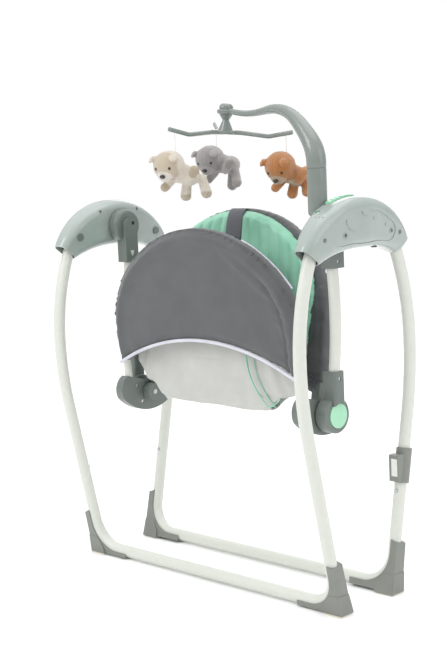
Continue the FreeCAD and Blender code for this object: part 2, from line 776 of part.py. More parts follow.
def make_toys():
    for name, (heading, place) in toy_poses.items():
        top = string_place(place) + V(0, 0, string_top_z - spinner_arm_d / 2 / 0.975)
        turned = FreeCAD.Rotation(V(0, 1, 0), mobile_tilt)
        pivot = V(mobile_x, mobile_y, knob_top_z - knob_height)
        top = pivot + turned.multVec(top - pivot) - V(0, 0, soft_gap)
        knot = top - V(0, 0, string_lengths[name])
        nodes[name] = toy(knot, heading)
        nodes[name.replace("toy", "string")] = rod(knot - V(0, 0, 0.8), top, string_d).cut(nodes[name])


# ---- seat ------------------------------------------------------------------
def hanger_path(side):
    top = V(side * hanger_x_top, 0, socket_bottom_z + socket_height - 4)
    foot = V(side * hanger_x_bottom, hub_y, hub_neck_top_z - 38)
    middle = (top + foot) * 0.5 + V(side * hanger_bow, 0, 0)
    return [arc(top, middle, foot)]


def make_hangers():
    screws = []
    for side_name, side in sides.items():
        face = side * arm_disc_face_x
        back = side * (leg_plane_x - housing_width / 2 - 2.5)
        disc = x_rod(face, back, 0, swing_z, arm_disc_d)
        rim = [e for e in disc.Edges if abs(e.BoundBox.XMax - face) < 0.01
               and abs(e.BoundBox.XMin - face) < 0.01]
        disc = disc.makeFillet(9, rim)
        x0 = side * arm_plate_x
        x1 = side * (arm_plate_x + arm_plate_t)
        half = arm_width / 2
        web = box(x0, x1, -half, half, socket_bottom_z, swing_z)
        crown = x_rod(x0, x1, 0, swing_z, arm_width)
        arm = disc.fuse([web, crown])
        arm = arm.cut(x_rod(side * (arm_disc_face_x + 7.5), back + side, 0, swing_z,
                            swing_shaft_d + 2 * fit_gap))
        arm = arm.cut(x_rod(x0 - side, x0 + side * 7, 6, swing_z + 5, 8))
        tube = sweep(hanger_path(side), hanger_d + 2 * socket_gap)
        nodes[f"{side_name}_hanger_arm"] = arm.cut(tube)
        nodes[f"{side_name}_hanger_tube"] = hollow(hanger_path(side), hanger_d, tube_wall)

        hub = x_rod(side * hub_inner_x, side * hub_outer_x, hub_y, hub_z, hub_d)
        hub = hub.makeFillet(4, [e for e in hub.Edges if e.Closed])
        neck_half = hub_neck_width / 2
        neck = box(side * (hub_inner_x + 3), side * (hub_outer_x + hub_neck_proud), hub_y - neck_half,
                   hub_y + neck_half, hub_z, hub_neck_top_z)
        neck = neck.makeFillet(5, [e for e in neck.Edges
                                   if abs(e.tangentAt(e.FirstParameter).z) > 0.9])
        hub = hub.fuse(neck).cut(tube)
        recess_x = side * (hub_outer_x - hub_button_t + hub_button_proud - hub_button_travel - 1)
        hub = hub.cut(x_rod(recess_x, side * (hub_outer_x + 20), hub_y, hub_z,
                            hub_button_d + 2 * soft_gap))
        hub = hub.cut(x_rod(side * (hub_inner_x - 5), side * (hub_outer_x - 9.5), hub_y, hub_z,
                            hub_axle_d + 2 * fit_gap))
        button_x0 = side * (hub_outer_x + hub_button_proud - hub_button_t)
        button = x_rod(button_x0, side * (hub_outer_x + hub_button_proud), hub_y, hub_z,
                       hub_button_d)
        nodes[f"{side_name}_release_button"] = button
        for z, x, y in ((hub_neck_top_z - 14, hub_outer_x + hub_neck_proud, hub_y),
                        (socket_bottom_z + 12, arm_plate_x + arm_plate_t, 0)):
            shell = rod(V(side * (x - 4), y, z), V(side * (x + 9), y, z), screw_head_d + 2 * fit_gap)
            hole = rod(V(side * (x - 9), y, z), V(side * x, y, z), screw_d + 2 * running)
            head = rod(V(side * (x - 4), y, z), V(side * (x - 1.2), y, z), screw_head_d)
            shank = rod(V(side * (x - 8), y, z), V(side * (x - 4), y, z), screw_d)
            screws.append(head.fuse(shank))
            for part in (f"{side_name}_hanger_arm", f"{side_name}_hanger_tube"):
                nodes[part] = nodes[part].cut([shell, hole])
            hub = hub.cut([shell, hole])
        nodes[f"{side_name}_hub"] = hub
    nodes["hanger_screws"] = Part.makeCompound(screws)


def arch(half, spring, top, crown_r):
    """Three-centred arch in the XZ plane from the left springing over to the right one."""
    drop = spring - (top - crown_r)
    side_r = (crown_r ** 2 - half ** 2 - drop ** 2) / (2 * (crown_r - half))
    crown_centre = V(0, 0, top - crown_r)
    result = []
    joints = []
    for s in (-1, 1):
        side_centre = V(s * (half - side_r), 0, spring)
        unit = (side_centre - crown_centre).normalize()
        joint = crown_centre + unit * crown_r
        bisector = (unit + V(s, 0, 0)).normalize()
        joints.append((V(s * half, 0, spring), side_centre + bisector * side_r, joint))
    left, right = joints
    result.append(arc(*left))
    result.append(arc(left[2], V(0, 0, top), right[2]))
    result.append(arc(right[2], right[1], right[0]))
    return result


def loop_path(half, foot, spring, top, crown_r):
    return [line(V(-half, 0, foot), V(-half, 0, spring)), *arch(half, spring, top, crown_r),
            line(V(half, 0, spring), V(half, 0, foot))]


def lean_front(shape):
    """From upright in the plane y = 0 to the leaning plane of the front loop."""
    shape.translate(V(0, front_loop_y, 0))
    shape.rotate(V(0, front_loop_y, front_loop_foot_z), V(1, 0, 0), front_loop_lean)
    return shape


def lean_back(shape):
    """From heights above y = 0 to the leaning backrest above the hub axis."""
    shape.translate(V(0, hub_y, hub_z))
    shape.rotate(V(0, hub_y, hub_z), V(1, 0, 0), -back_loop_lean)
    return shape


def make_front_loop():
    path = loop_path(front_loop_half, front_loop_foot_z, front_loop_spring_z,
                     front_loop_top_z, front_crown_r)
    nodes["front_loop_tube"] = lean_front(hollow(path, loop_tube_d, loop_tube_wall))

    half = front_loop_half + fabric_edge
    rim = arch(half, front_loop_spring_z, front_loop_top_z + fabric_edge,
               front_crown_r + fabric_edge)
    left_foot = V(-half + 12, 0, cover_arch_side_z)
    right_foot = V(half - 12, 0, cover_arch_side_z)
    edges = [line(left_foot, V(-half, 0, front_loop_spring_z)), *rim,
             line(V(half, 0, front_loop_spring_z), right_foot),
             arc(right_foot, V(0, 0, cover_arch_top_z), left_foot)]
    cover = plate(edges, cover_front + cover_behind, V(0, 1, 0))
    cover.translate(V(0, -cover_front, 0))
    channel = sweep(path, loop_tube_d + 2 * channel_gap)
    nodes["front_cover"] = lean_front(cover.cut(channel))


def make_front_brackets():
    """Half-moon side plates that carry the front loop on the hub axle."""
    screws = []
    tube_path = loop_path(front_loop_half, front_loop_foot_z, front_loop_spring_z,
                          front_loop_top_z, front_crown_r)
    tube = lean_front(sweep(tube_path, loop_tube_d + 2 * socket_gap))
    y = hub_y
    z = hub_z
    for side_name, side in sides.items():
        x0 = side * (front_loop_half - bracket_t / 2 + 1.5)
        x1 = side * (front_loop_half + bracket_t / 2 + 1.5)
        right = V(x0, y + 54, z - 28)
        bottom = V(x0, y - 4, z - 40)
        left_low = V(x0, y - 70, z - 8)
        left = V(x0, y - 74, z + 18)
        top_left = V(x0, y - 56, z + 40)
        top_right = V(x0, y + 22, z + 18)
        edges = [arc(right, bottom, left_low), arc(left_low, left, top_left),
                 line(top_left, top_right), line(top_right, right)]
        body = plate(edges, bracket_t, V(side, 0, 0))
        body = body.cut(tube)
        body = body.cut(x_rod(x0 - side, x1 + side, y, z, hub_axle_d + 2 * running))
        for dy, dz in ((-32, 15), (-2, 22), (19, -6), (-18, -20)):
            body = body.cut(x_rod(x0 - side, x0 + side * 4, y + dy, z + dz, 8.4))
            body = body.cut(x_rod(x0, x0 + side * 14, y + dy, z + dz, screw_d + 2 * running))
            head = x_rod(x0 + side * 1.5, x0 + side * 4, y + dy, z + dz, 8)
            screws.append(head.fuse(x_rod(x0 + side * 3, x0 + side * 13, y + dy, z + dz, screw_d)))
        nodes[f"{side_name}_front_bracket"] = body
    nodes["bracket_screws"] = Part.makeCompound(screws)


def back_outline(half, foot, top):
    """Closed outline of a backrest layer, heights from the hub axis."""
    rim = arch(half, back_spring_h, top, back_crown_r + half - back_loop_half)
    return [line(V(-half, 0, foot), V(-half, 0, back_spring_h)), *rim,
            line(V(half, 0, back_spring_h), V(half, 0, foot)),
            line(V(half, 0, foot), V(-half, 0, foot))]


def make_backrest():
    path = loop_path(back_loop_half, back_foot_h, back_spring_h, back_top_h, back_crown_r)
    tube = hollow(path, loop_tube_d, loop_tube_wall)
    channel = sweep(path, loop_tube_d + 2 * channel_gap)
    socket = sweep(path, loop_tube_d + 2 * socket_gap)
    for shape in (tube, channel, socket):
        shape.translate(V(0, back_loop_offset, 0))
    nodes["back_loop_tube"] = lean_back(tube)
    lean_back(socket)

    cover_half = back_loop_half + fabric_edge - soft_gap
    cover = plate(back_outline(cover_half, back_foot_gap_h + 14, back_top_h + fabric_edge),
                  back_cover_t, V(0, 1, 0))
    nodes["backrest_cover"] = lean_back(cover.cut(channel))
    pad = plate(back_outline(cover_half - back_pad_inset, back_foot_gap_h,
                             back_top_h + fabric_edge - back_pad_inset),
                back_pad_t, V(0, 1, 0))
    pad.translate(V(0, -back_pad_t - soft_gap, 0))
    nodes["backrest_pad"] = lean_back(pad)

    strap_top = back_top_h + fabric_edge - back_pad_inset - 2
    strap = box(-strap_width / 2, strap_width / 2, -strap_t, 0, strap_top - strap_length, strap_top)
    strap.translate(V(4, -back_pad_t - 2 * soft_gap, 0))
    nodes["head_strap"] = lean_back(strap)

    brackets = []
    for side in sides.values():
        x0 = side * (back_loop_half - bracket_t / 2 + 0.5)
        x1 = side * (back_loop_half + bracket_t / 2 - 0.5)
        disc = x_rod(x0, x1, hub_y, hub_z, back_disc_d)
        arm = box(x0, x1, back_loop_offset - 12, back_loop_offset + 12, 0, back_foot_gap_h + 12)
        body = disc.fuse(lean_back(arm)).cut(socket)
        brackets.append(body.cut(x_rod(x0 - side, x1 + side, hub_y, hub_z,
                                       hub_axle_d + 2 * running)))
    nodes["back_brackets"] = Part.makeCompound(brackets)


def make_sling():
    """Fabric trough under the seat, between the hubs."""
    def trough(y0, y1, grow, top):
        b = sling_bottom_half + grow * 0.4
        s = sling_side_half + grow
        z = sling_bottom_z - grow
        p = [V(-b, y0, z), V(b, y0, z), V(s, y0, sling_side_z), V(s, y0, top),
             V(-s, y0, top), V(-s, y0, sling_side_z)]
        edges = [line(p[i], p[(i + 1) % 6]) for i in range(6)]
        return plate(edges, y1 - y0, V(0, 1, 0))

    outer = trough(sling_front_y, sling_rear_y, 0.0, sling_front_top_z)
    inner = trough(sling_front_y + sling_wall, sling_rear_y - sling_wall, -sling_wall,
                   sling_front_top_z + 20)
    side_open = box(-300, 300, sling_front_y + sling_wall, sling_rear_y + 5,
                    sling_rear_top_z, sling_front_top_z + 20)
    nodes["seat_sling"] = outer.cut([inner, side_open])


def export():
    os.makedirs("parts", exist_ok=True)
    for name, shape in nodes.items():
        for solid in shape.Solids:
            if not solid.isValid():
                print("invalid solid in", name)
        if len(shape.Solids) > 1:
            print(len(shape.Solids), "solids in", name)
        shape.exportStep(f"parts/{name}.step")
    print(len(nodes), "nodes")


make_legs()
make_base_tubes()
make_snap_pins()
make_feet()
make_clip()
make_housings()
make_swing_bearings()
make_drive()
make_controls()
make_mobile_arm()
make_spinner()
make_toys()
make_hangers()
make_front_loop()
make_front_brackets()
make_backrest()
make_sling()
export()
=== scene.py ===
import bmesh
import bpy
import json
import math
from mathutils import Matrix, Vector, noise


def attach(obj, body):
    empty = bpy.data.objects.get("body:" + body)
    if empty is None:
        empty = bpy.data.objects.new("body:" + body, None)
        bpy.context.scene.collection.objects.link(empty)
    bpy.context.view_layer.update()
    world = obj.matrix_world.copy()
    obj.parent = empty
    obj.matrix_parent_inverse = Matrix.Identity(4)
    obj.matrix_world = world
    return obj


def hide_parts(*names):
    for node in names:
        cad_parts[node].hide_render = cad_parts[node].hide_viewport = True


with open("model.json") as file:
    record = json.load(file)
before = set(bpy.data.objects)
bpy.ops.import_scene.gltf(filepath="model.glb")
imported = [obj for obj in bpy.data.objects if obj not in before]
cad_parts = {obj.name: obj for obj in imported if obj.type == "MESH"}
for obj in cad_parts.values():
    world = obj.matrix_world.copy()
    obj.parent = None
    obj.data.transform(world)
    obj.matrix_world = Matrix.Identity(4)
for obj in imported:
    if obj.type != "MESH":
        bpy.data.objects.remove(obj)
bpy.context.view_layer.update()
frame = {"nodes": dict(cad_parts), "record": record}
nodes = frame["nodes"]
scene = bpy.context.scene

# Baby swing, folded and standing. Metres, +X to the side with the controls,
# -Y to the leg rest side, +Z up. Shapes are worked out in millimetres through mm().


def mm(x, y, z):
    return Vector((x, y, z)) / 1000


# ---- camera ------------------------------------------------------------------
camera_data = bpy.data.cameras.new("camera")
camera = bpy.data.objects.new("camera", camera_data)
scene.collection.objects.link(camera)
scene.camera = camera
camera_data.lens = 72.2
camera_data.sensor_width = 36.0
turn = math.radians(45.14)
dip = math.radians(7.51)
roll = math.radians(-2.69)
sight = Vector((-math.sin(turn) * math.cos(dip), math.cos(turn) * math.cos(dip), -math.sin(dip)))
level = Vector((math.cos(turn), math.sin(turn), 0))
upright = level.cross(sight)
cam_x = level * math.cos(roll) + upright * math.sin(roll)
cam_y = upright * math.cos(roll) - level * math.sin(roll)
pose = Matrix((cam_x, cam_y, -sight)).transposed().to_4x4()
pose.translation = Vector((1.911, -1.910, 0.850))
camera.matrix_world = pose


# ---- strings of the mobile -----------------------------------------------------
mobile_x, mobile_y, mobile_z = 11.0, 17.0, 936.0
mobile_tilt = math.radians(6.5)
string_radius = 127.0
spinner_angle = 23.8
arm_under_z = 904.4 - 4.5 / 0.975
toy_places = {"cream": (-110.0, 2, 36.0), "grey": (-128.0, 1, 38.0), "brown": (-112.0, 0, 33.0)}
strings = {}


def string_top(place):
    """Underside of a spinner arm; the spinner leans with the end of the mobile arm."""
    a = math.radians(spinner_angle + 120 * place)
    out, drop = string_radius * math.cos(a), arm_under_z - mobile_z
    return Vector((mobile_x + out * math.cos(mobile_tilt) + drop * math.sin(mobile_tilt),
                   mobile_y + string_radius * math.sin(a),
                   mobile_z - out * math.sin(mobile_tilt) + drop * math.cos(mobile_tilt)))


for colour_name, (heading, place, string_length) in toy_places.items():
    top = string_top(place)
    data = bpy.data.curves.new("hanging_string_" + colour_name, "CURVE")
    data.dimensions = "3D"
    line = data.splines.new("NURBS")
    line.points.add(3)
    for point, drop in zip(line.points, (0, 9, 20, string_length + 0.8)):
        point.co = (*mm(top.x, top.y, top.z - drop), 1)
        point.radius = 0.05
    line.order_u = 3
    line.use_endpoint_u = True
    data.bevel_depth = 0.012
    data.bevel_resolution = 3
    data.use_fill_caps = True
    string = bpy.data.objects.new("hanging_string_" + colour_name, data)
    scene.collection.objects.link(string)
    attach(string, "toy_" + colour_name)
    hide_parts("string_" + colour_name)
    strings[colour_name] = string


# ---- materials -----------------------------------------------------------------
def rgb(code):
    """sRGB hex to a linear colour."""
    parts = [int(code[i:i + 2], 16) / 255 for i in (1, 3, 5)]
    return (*[c / 12.92 if c <= 0.04045 else ((c + 0.055) / 1.055) ** 2.4 for c in parts], 1)


def add(tree, kind, inputs=None, **settings):
    """Adds a node, with its settings, and its sockets given a value or a link."""
    made = tree.nodes.new(kind)
    for key, value in settings.items():
        setattr(made, key, value)
    for key, value in (inputs or {}).items():
        if isinstance(value, bpy.types.NodeSocket):
            tree.links.new(value, made.inputs[key])
        else:
            made.inputs[key].default_value = value
    return made


def new_material(name):
    made = bpy.data.materials.new(name)
    made.use_nodes = True
    tree = made.node_tree
    tree.nodes.clear()
    place = add(tree, "ShaderNodeTexCoord").outputs["Object"]
    return made, tree, place


def two_tone(tree, place, low, high, size_mm, detail=3):
    """Colour that drifts between two close tones over patches of that size."""
    patches = add(tree, "ShaderNodeTexNoise", {"Vector": place, "Scale": 1000 / size_mm,
                                               "Detail": detail})
    ramp = add(tree, "ShaderNodeValToRGB", {"Fac": patches.outputs["Fac"]})
    ramp.color_ramp.elements[0].color = rgb(low)
    ramp.color_ramp.elements[1].color = rgb(high)
    ramp.color_ramp.elements[0].position = 0.3
    ramp.color_ramp.elements[1].position = 0.7
    return ramp.outputs["Color"], patches.outputs["Fac"]


def moulded(name, low, high, roughness, grain_mm, depth_mm, coat=0.0):
    """Injection-moulded plastic: fine grain from the tool, and a slow drift in gloss."""
    made, tree, place = new_material(name)
    tone, drift = two_tone(tree, place, low, high, 60)
    grain = add(tree, "ShaderNodeTexNoise", {"Vector": place, "Scale": 1000 / grain_mm,
                                             "Detail": 2.0})
    bump = add(tree, "ShaderNodeBump", {"Height": grain.outputs["Fac"], "Strength": 0.5,
                                        "Distance": depth_mm / 1000})
    gloss = add(tree, "ShaderNodeMapRange", {"Value": drift, "From Min": 0.3, "From Max": 0.7,
                                             "To Min": roughness - 0.04, "To Max": roughness + 0.05})
    shader = add(tree, "ShaderNodeBsdfPrincipled", {
        "Base Color": tone, "Roughness": gloss.outputs["Result"], "IOR": 1.53,
        "Coat Weight": coat, "Coat Roughness": 0.08, "Normal": bump.outputs["Normal"]})
    add(tree, "ShaderNodeOutputMaterial", {"Surface": shader.outputs["BSDF"]})
    return made


def woven(name, low, high, thread_mm, depth_mm, sheen=0.3, roughness=0.85, patch_mm=45):
    """Plain weave: two crossing sets of threads, with slubs and slow changes of tone."""
    made, tree, place = new_material(name)
    tone, drift = two_tone(tree, place, low, high, patch_mm)
    threads = []
    for direction in ("X", "Z"):
        wave = add(tree, "ShaderNodeTexWave", {"Vector": place, "Scale": 314 / thread_mm,
                                               "Distortion": 0.6, "Detail": 1.0,
                                               "Detail Scale": 2.0},
                   wave_type="BANDS", bands_direction=direction)
        threads.append(wave.outputs["Fac"])
    weave = add(tree, "ShaderNodeMath", {0: threads[0], 1: threads[1]}, operation="MULTIPLY")
    shade = add(tree, "ShaderNodeMapRange", {"Value": weave.outputs["Value"],
                                             "To Min": 0.93, "To Max": 1.05})
    dyed = add(tree, "ShaderNodeVectorMath", {0: tone, "Scale": shade.outputs["Result"]},
               operation="SCALE")
    bump = add(tree, "ShaderNodeBump", {"Height": weave.outputs["Value"], "Strength": 0.6,
                                        "Distance": depth_mm / 1000})
    shader = add(tree, "ShaderNodeBsdfPrincipled", {
        "Base Color": dyed.outputs["Vector"], "Roughness": roughness, "IOR": 1.46,
        "Sheen Weight": sheen, "Sheen Roughness": 0.5, "Normal": bump.outputs["Normal"]})
    add(tree, "ShaderNodeOutputMaterial", {"Surface": shader.outputs["BSDF"]})
    return made


def metal(name, low, high, roughness, metallic, grain_mm, depth=0.00005):
    made, tree, place = new_material(name)
    tone, drift = two_tone(tree, place, low, high, grain_mm * 8)
    grain = add(tree, "ShaderNodeTexNoise", {"Vector": place, "Scale": 1000 / grain_mm,
                                             "Detail": 3.0})
    bump = add(tree, "ShaderNodeBump", {"Height": grain.outputs["Fac"], "Strength": 0.25,
                                        "Distance": depth})
    gloss = add(tree, "ShaderNodeMapRange", {"Value": drift, "To Min": roughness - 0.06,
                                             "To Max": roughness + 0.08})
    shader = add(tree, "ShaderNodeBsdfPrincipled", {
        "Base Color": tone, "Metallic": metallic, "Roughness": gloss.outputs["Result"],
        "Normal": bump.outputs["Normal"]})
    add(tree, "ShaderNodeOutputMaterial", {"Surface": shader.outputs["BSDF"]})
    return made


def plush(name, coat_low, coat_high, face, muzzle, paw, tongue="#C2566F"):
    """Short-pile knitted plush. Four attributes on the mesh paint its sewn-on patches."""
    made, tree, place = new_material(name)
    tone, drift = two_tone(tree, place, coat_low, coat_high, 5, 4)
    base = tone
    for attribute, paint in (("face", face), ("paw", paw), ("muzzle", muzzle), ("mouth", tongue)):
        mask = add(tree, "ShaderNodeAttribute", attribute_name=attribute)
        mixed = add(tree, "ShaderNodeMix", {"Factor": mask.outputs["Fac"], "B": rgb(paint)},
                    data_type="RGBA")
        tree.links.new(base, mixed.inputs["A"])
        base = mixed.outputs["Result"]
    pile = add(tree, "ShaderNodeTexNoise", {"Vector": place, "Scale": 900.0, "Detail": 4.0})
    bump = add(tree, "ShaderNodeBump", {"Height": pile.outputs["Fac"], "Strength": 1.0,
                                        "Distance": 0.0025})
    shader = add(tree, "ShaderNodeBsdfPrincipled", {
        "Base Color": base, "Roughness": 0.95, "Sheen Weight": 0.6, "Sheen Roughness": 0.4,
        "Normal": bump.outputs["Normal"]})
    add(tree, "ShaderNodeOutputMaterial", {"Surface": shader.outputs["BSDF"]})
    return made


looks = {
    # Powder-coated steel tube: smooth off-white with a faint orange-peel.
    "painted_tube": metal("powder_coated_tube", "#CDD0C8", "#D0D3CB", 0.3, 0.0, 1.2, 0.000005),
    # Glossy ABS, polished tool.
    "housing_plastic": moulded("glossy_abs_grey_green", "#97A19D", "#9FA9A5", 0.24, 6.0, 0.02, 0.5),
    # Spark-eroded ABS, satin.
    "hub_plastic": moulded("satin_abs_grey", "#646C68", "#6D7571", 0.34, 1.6, 0.06),
    "mobile_plastic": moulded("glossy_abs_grey", "#757D79", "#7D8581", 0.24, 4.0, 0.02, 0.4),
    "boot_plastic": moulded("satin_polypropylene_boot", "#787C76", "#83867F", 0.45, 1.8, 0.08),
    "mint_plastic": moulded("mint_abs", "#99D3B0", "#A6DBBB", 0.35, 1.5, 0.03, 0.2),
    "bearing_plastic": moulded("white_acetal", "#E2E2DC", "#EDEDE8", 0.4, 1.5, 0.02),
    "black_plastic": moulded("black_nylon", "#141414", "#202020", 0.5, 1.2, 0.05),
    # Zinc-plated steel.
    "steel": metal("zinc_plated_steel", "#A9ABAD", "#C4C6C8", 0.34, 1.0, 0.8),
    "copper_winding": metal("enamelled_copper_wire", "#A8562C", "#C8733F", 0.3, 1.0, 0.5),
    "circuit_board": moulded("glass_epoxy_board", "#1D5B31", "#256B3B", 0.4, 2.0, 0.03),
    "pad_rubber": moulded("cream_rubber", "#CFC9B8", "#DAD5C6", 0.75, 1.0, 0.08),
    # Polyester cloths, with threads drawn coarser than the real 0.3 mm so that they show.
    "grey_fabric": woven("grey_polyester", "#525456", "#585B5C", 1.6, 0.12, 0.25, 0.72),
    "mint_fabric": woven("mint_polyester", "#8AC8AD", "#9BD5BB", 1.8, 0.12, 0.3, 0.75),
    "white_fabric": woven("off_white_polyester", "#B9BAB5", "#C2C3BE", 1.8, 0.12, 0.2, 0.8),
    "piping_fabric": woven("pale_ribbed_piping", "#C9C9D4", "#DADAE3", 2.2, 0.3, 0.2, 0.8),
    "elastic_fabric": woven("gathered_satin", "#4E5053", "#5A5D60", 1.6, 0.1, 0.1, 0.42),
    "strap_fabric": woven("grey_webbing", "#5F6166", "#6A6C71", 2.6, 0.35, 0.2, 0.8),
    "plush_cream": plush("cream_plush", "#D6CCBC", "#E3DBCE", "#C6B9A3", "#E2DBD1", "#B3A58D"),
    "plush_grey": plush("grey_plush", "#A6A2A0", "#B6B2B0", "#9A9695", "#A9A5A4", "#9A9492"),
    "plush_brown": plush("orange_brown_plush", "#B47542", "#C48953", "#B67841", "#BCA489", "#C98A55"),
    "eye_plastic": moulded("polished_black_eye", "#1B1513", "#241C19", 0.12, 3.0, 0.01, 0.5),
    "string_cotton": woven("cotton_string", "#DFDCD3", "#EDEBE4", 0.6, 0.08),
}
for row in frame["record"]["subparts"]:
    mesh = nodes[row["node"]].data
    mesh.materials.clear()
    mobile_part = row["node"] in ("mobile_post", "mobile_arm", "mobile_spinner")
    mesh.materials.append(looks["mobile_plastic" if mobile_part else row["material_slot"]])
for string in strings.values():
    string.data.materials.append(looks["string_cotton"])


# ---- mesh helpers ------------------------------------------------------------
def piece(name, bm, material, body, stands_for=(), smooth=True, recalc=True):
    """Turns a bmesh into a finished piece that rides on a body."""
    if recalc:
        bmesh.ops.recalc_face_normals(bm, faces=bm.faces)
    data = bpy.data.meshes.new(name)
    bm.to_mesh(data)
    bm.free()
    made = bpy.data.objects.new(name, data)
    scene.collection.objects.link(made)
    data.materials.append(looks[material])
    data.polygons.foreach_set("use_smooth", [smooth] * len(data.polygons))
    if body:
        settle(made, body, stands_for)
    return made


def settle(made, body, stands_for=()):
    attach(made, body)
    if stands_for:
        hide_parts(*stands_for)


def modify(made, kind, **settings):
    modifier = made.modifiers.new(kind.lower(), kind)
    for key, value in settings.items():
        setattr(modifier, key, value)
    return modifier


def bake_modifiers(made):
    """Applies the modifiers to the mesh."""
    graph = bpy.context.evaluated_depsgraph_get()
    graph.update()
    data = bpy.data.meshes.new_from_object(made.evaluated_get(graph))
    made.modifiers.clear()
    made.data = data
    return made


def remesh(made, voxel_mm):
    modify(made, "REMESH", mode="VOXEL", voxel_size=voxel_mm / 1000, use_smooth_shade=True)
    return bake_modifiers(made)


def puff(made, cap_mm, pressure=4.0):
    """Blows the piece up as its filling would, by cloth simulation, no further than the cap."""
    rest = [(v.co.copy(), v.normal.copy()) for v in made.data.vertices]
    cloth = made.modifiers.new("filling", "CLOTH")
    cloth.settings.quality = 4
    cloth.settings.use_pressure = True
    cloth.settings.uniform_pressure_force = pressure
    cloth.settings.effector_weights.gravity = 0
    cloth.point_cache.frame_start = 1
    cloth.point_cache.frame_end = 20
    for number in range(1, 21):
        scene.frame_set(number)
    bake_modifiers(made)
    scene.frame_set(1)
    cap = cap_mm / 1000
    for vertex, (start, normal) in zip(made.data.vertices, rest):
        move = vertex.co - start
        out = normal.dot(move)
        move = normal * max(0, out) + 0.4 * (move - normal * out)   # the rim is held by its tube
        if move.length > cap:
            move *= cap / move.length
        vertex.co = start + move
    return made


def sculpt(made, push):
    """Moves each point along its own normal by push(point in mm, normal), in millimetres."""
    moves = [v.normal * (push(v.co * 1000, v.normal) / 1000) for v in made.data.vertices]
    for vertex, move in zip(made.data.vertices, moves):
        vertex.co += move
    made.data.update()
    return made


def finer(made):
    """Smooth division of the mesh, for creases finer than the cloth's own grid."""
    modify(made, "SUBSURF", levels=1, render_levels=1)
    return bake_modifiers(made)


def ripple(p, size, seed=0.0):
    return noise.noise(Vector((p.x / size, p.y / size + seed, p.z / size)))


def step(a, b, x):
    t = min(1, max(0, (x - a) / (b - a)))
    return t * t * (3 - 2 * t)


def arc_points(bm, start, centre, degrees, steps):
    """Spins a point about a Y axis through centre, and gives the last point."""
    made = bmesh.ops.spin(bm, geom=[start], cent=centre, axis=(0, 1, 0),
                          angle=math.radians(degrees), steps=steps, use_merge=False,
                          use_duplicate=False)
    return [g for g in made["geom_last"] if isinstance(g, bmesh.types.BMVert)][0]


def side_radius(half, drop, crown_r):
    """Radius of the two side arcs of an arch whose springing is drop above the crown's centre."""
    return (crown_r ** 2 - half ** 2 - drop ** 2) / (2 * (crown_r - half))


def arch(bm, start, half, spring, top, crown_r, steps=10):
    """Three-centred arch from the left springing, which is the point start, to the right."""
    drop = spring - (top - crown_r)
    side_r = side_radius(half, drop, crown_r)
    angle = math.degrees(math.atan2(drop, half - side_r))
    left = arc_points(bm, start, mm(side_r - half, 0, spring), angle, steps)
    over = arc_points(bm, left, mm(0, 0, top - crown_r), 2 * (90 - angle), steps * 2)
    return arc_points(bm, over, mm(half - side_r, 0, spring), angle, steps)


def tube(name, points, diameter_mm, material, body):
    """A round cord sewn along a line, as a mesh."""
    data = bpy.data.curves.new(name, "CURVE")
    data.dimensions = "3D"
    line = data.splines.new("NURBS")
    line.points.add(len(points) - 1)
    for point, place in zip(line.points, points):
        point.co = (*place, 1)
    line.order_u = 3
    line.use_endpoint_u = True
    line.resolution_u = 4
    data.bevel_depth = diameter_mm / 2000
    data.bevel_resolution = 3
    data.use_fill_caps = True
    carrier = bpy.data.objects.new(name + "_line", data)
    scene.collection.objects.link(carrier)
    graph = bpy.context.evaluated_depsgraph_get()
    mesh = bpy.data.meshes.new_from_object(carrier.evaluated_get(graph))
    bpy.data.objects.remove(carrier)
    made = bpy.data.objects.new(name, mesh)
    scene.collection.objects.link(made)
    mesh.materials.clear()
    mesh.materials.append(looks[material])
    mesh.polygons.foreach_set("use_smooth", [True] * len(mesh.polygons))
    settle(made, body)
    return made


# ---- leg rest cover -------------------------------------------------------------
front_loop_y, front_loop_foot_z, front_loop_lean = -50.0, 385.0, math.radians(4.0)
cover_half, cover_side_z, cover_low_z = 264.0, 431.0, 494.0
cover_top, cover_crown, cover_spring = 716.0, 302.0, 500.0
cover_foot = cover_half - 12        # half width at the bottom corners


def lean_front(x, d, h):
    """From the loop's own plane, d behind it, to its place in the frame."""
    c, s = math.cos(front_loop_lean), math.sin(front_loop_lean)
    h -= front_loop_foot_z
    return Vector((x, front_loop_y + d * c - h * s, front_loop_foot_z + d * s + h * c))


def flat_front(p):
    """Back from the frame to the loop's own plane."""
    c, s = math.cos(front_loop_lean), math.sin(front_loop_lean)
    y, z = p.y - front_loop_y, p.z - front_loop_foot_z
    return Vector((p.x, y * c + z * s, front_loop_foot_z - y * s + z * c))


def slab(bm, near, far, lean):
    """Fills the outline and gives it depth, from near to far, then leans it into its place."""
    bmesh.ops.remove_doubles(bm, verts=bm.verts, dist=0.0005)
    bmesh.ops.contextual_create(bm, geom=bm.edges[:])
    bmesh.ops.translate(bm, verts=bm.verts, vec=mm(0, near, 0))
    made = bmesh.ops.extrude_face_region(bm, geom=bm.faces[:])
    bmesh.ops.translate(bm, verts=[g for g in made["geom"] if isinstance(g, bmesh.types.BMVert)],
                        vec=mm(0, far - near, 0))
    bmesh.ops.recalc_face_normals(bm, faces=bm.faces)
    for v in bm.verts:
        v.co = lean(*(v.co * 1000)) / 1000


